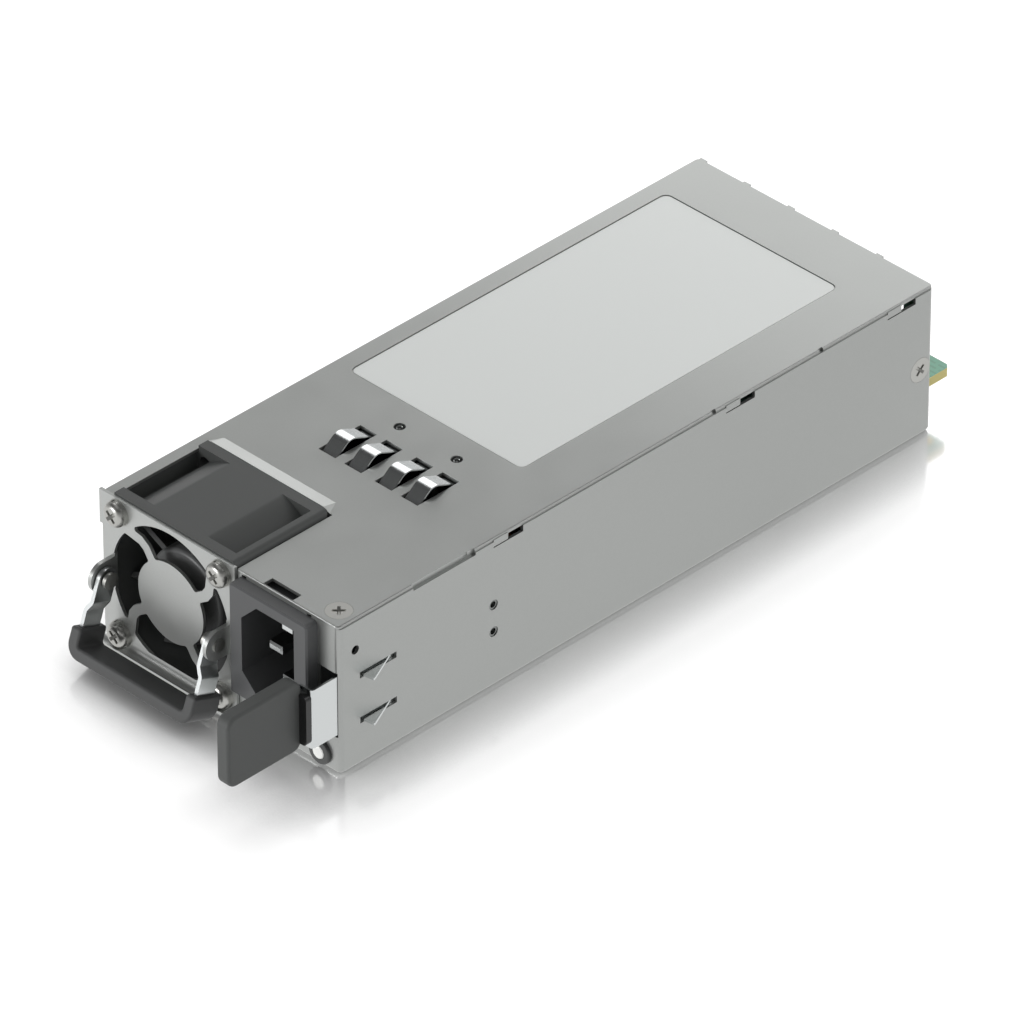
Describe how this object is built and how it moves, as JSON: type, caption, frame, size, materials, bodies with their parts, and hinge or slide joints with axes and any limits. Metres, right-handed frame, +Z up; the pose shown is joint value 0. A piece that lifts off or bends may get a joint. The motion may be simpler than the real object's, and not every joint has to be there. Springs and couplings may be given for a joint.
{
  "type": "hot swap server power supply",
  "caption": "Slim sheet steel server power module with front fan, bail handle, inlet, sprung release latch, ground fingers on top and a card edge at the rear.",
  "frame": {"origin": "centre of the case's underside", "axes": "+X to the right seen from the front, +Y towards the card edge at the rear, +Z up"},
  "size_m": [0.0766, 0.2236, 0.0413],
  "materials": {
    "galvanised_sheet": "zinc coated sheet, satin",
    "plated_steel": "zinc plated, semi bright",
    "spring_steel": "bright rolled strip",
    "rivet_steel": "plated, dull",
    "label_film": "plain polyester film",
    "fan_plastic": "moulded, matt",
    "impeller_plastic": "moulded, satin",
    "magnet": "sintered",
    "bearing_brass": "turned",
    "lamination": "stacked sheet",
    "green_board": "solder mask over glass fibre",
    "card_board": "solder mask over glass fibre",
    "gold_plate": "plated contacts",
    "black_plastic": "moulded, fine texture",
    "tab_plastic": "soft matt moulding",
    "grip_rubber": "matt",
    "lens": "diffusing, milky",
    "bezel_plastic": "moulded",
    "insulator": "thin sheet",
    "header_plastic": "moulded",
    "white_plastic": "moulded",
    "ferrite": "sintered",
    "copper_wire": "enamelled copper",
    "copper_bar": "tinned copper",
    "film_yellow": "moulded box",
    "relay_case": "moulded box",
    "capacitor_sleeve": "shrink sleeve",
    "fuse_body": "ceramic tube",
    "heat_sink": "extruded, plain",
    "semiconductor": "moulded package",
    "winding_tape": "polyester tape",
    "wire_jacket": "wire insulation"
  },
  "bodies": {
    "case": {"chassis_tray": "galvanised_sheet", "top_cover": "galvanised_sheet", "label": "label_film", "fan_frame": "fan_plastic", "fan_bearings": "bearing_brass", "fan_stator": "lamination", "fan_circuit_board": "green_board", "fan_guard": "plated_steel", "fan_flat_washers": "plated_steel", "fan_lock_washers": "plated_steel", "fan_screws": "plated_steel", "handle_rivets": "plated_steel", "inlet_housing": "black_plastic", "inlet_pins": "plated_steel", "latch_foot": "spring_steel", "latch_rivets": "rivet_steel", "lamp_bezel": "bezel_plastic", "lamp_lens": "lens", "ground_strip": "spring_steel", "ground_rivets": "rivet_steel", "cover_screw": "plated_steel", "side_screws": "plated_steel", "insulator_sheet": "insulator", "standoffs": "plated_steel", "main_board": "green_board", "board_screws": "plated_steel", "card_edge_board": "card_board", "card_contacts": "gold_plate", "card_header": "header_plastic", "emi_choke_core": "ferrite", "emi_choke_winding": "copper_wire", "pfc_choke_core": "ferrite", "pfc_choke_winding": "copper_wire", "film_capacitor": "film_yellow", "relay": "relay_case", "fuse": "fuse_body", "bulk_capacitor": "capacitor_sleeve", "heat_sink_primary": "heat_sink", "heat_sink_secondary": "heat_sink", "transistors": "semiconductor", "transformer_core": "ferrite", "transformer_windings": "winding_tape", "output_capacitors": "capacitor_sleeve", "bus_bars": "copper_bar", "controller_board": "green_board", "inlet_leads": "wire_jacket", "fan_plug": "white_plastic", "fan_leads": "wire_jacket"},
    "handle": {"handle_frame": "spring_steel", "handle_grip": "grip_rubber"},
    "latch": {"latch_spring": "spring_steel", "latch_tab": "tab_plastic"},
    "impeller": {"fan_impeller": "impeller_plastic", "fan_shaft": "plated_steel", "fan_magnet": "magnet"},
    "finger_1": {"ground_finger_1": "spring_steel"},
    "finger_2": {"ground_finger_2": "spring_steel"},
    "finger_3": {"ground_finger_3": "spring_steel"},
    "finger_4": {"ground_finger_4": "spring_steel"}
  },
  "joints": [
    {"name": "handle_swing", "type": "hinge", "parent": "case", "child": "handle", "pos_m": [-0.01475, -0.0967, 0.02], "axis": [-1, 0, 0], "range_deg": [0, 100]},
    {"name": "latch_press", "type": "hinge", "parent": "case", "child": "latch", "pos_m": [0.0355, -0.051, 0.01815], "axis": [0, 0, -1], "range_deg": [0, 5.4], "stiffness_Nm_per_rad": 6},
    {"name": "fan_spin", "type": "hinge", "parent": "case", "child": "impeller", "pos_m": [-0.01475, -0.0925, 0.0201], "axis": [0, 1, 0], "continuous": true},
    {"name": "finger_1_press", "type": "hinge", "parent": "case", "child": "finger_1", "pos_m": [-0.0119, -0.0355, 0.03775], "axis": [1, 0, 0], "range_deg": [0, 14], "stiffness_Nm_per_rad": 0.1},
    {"name": "finger_2_press", "type": "hinge", "parent": "case", "child": "finger_2", "pos_m": [-0.00385, -0.0355, 0.03775], "axis": [1, 0, 0], "range_deg": [0, 14], "stiffness_Nm_per_rad": 0.1},
    {"name": "finger_3_press", "type": "hinge", "parent": "case", "child": "finger_3", "pos_m": [0.00555, -0.0355, 0.03775], "axis": [1, 0, 0], "range_deg": [0, 14], "stiffness_Nm_per_rad": 0.1},
    {"name": "finger_4_press", "type": "hinge", "parent": "case", "child": "finger_4", "pos_m": [0.0136, -0.0355, 0.03775], "axis": [1, 0, 0], "range_deg": [0, 14], "stiffness_Nm_per_rad": 0.1}
  ]
}
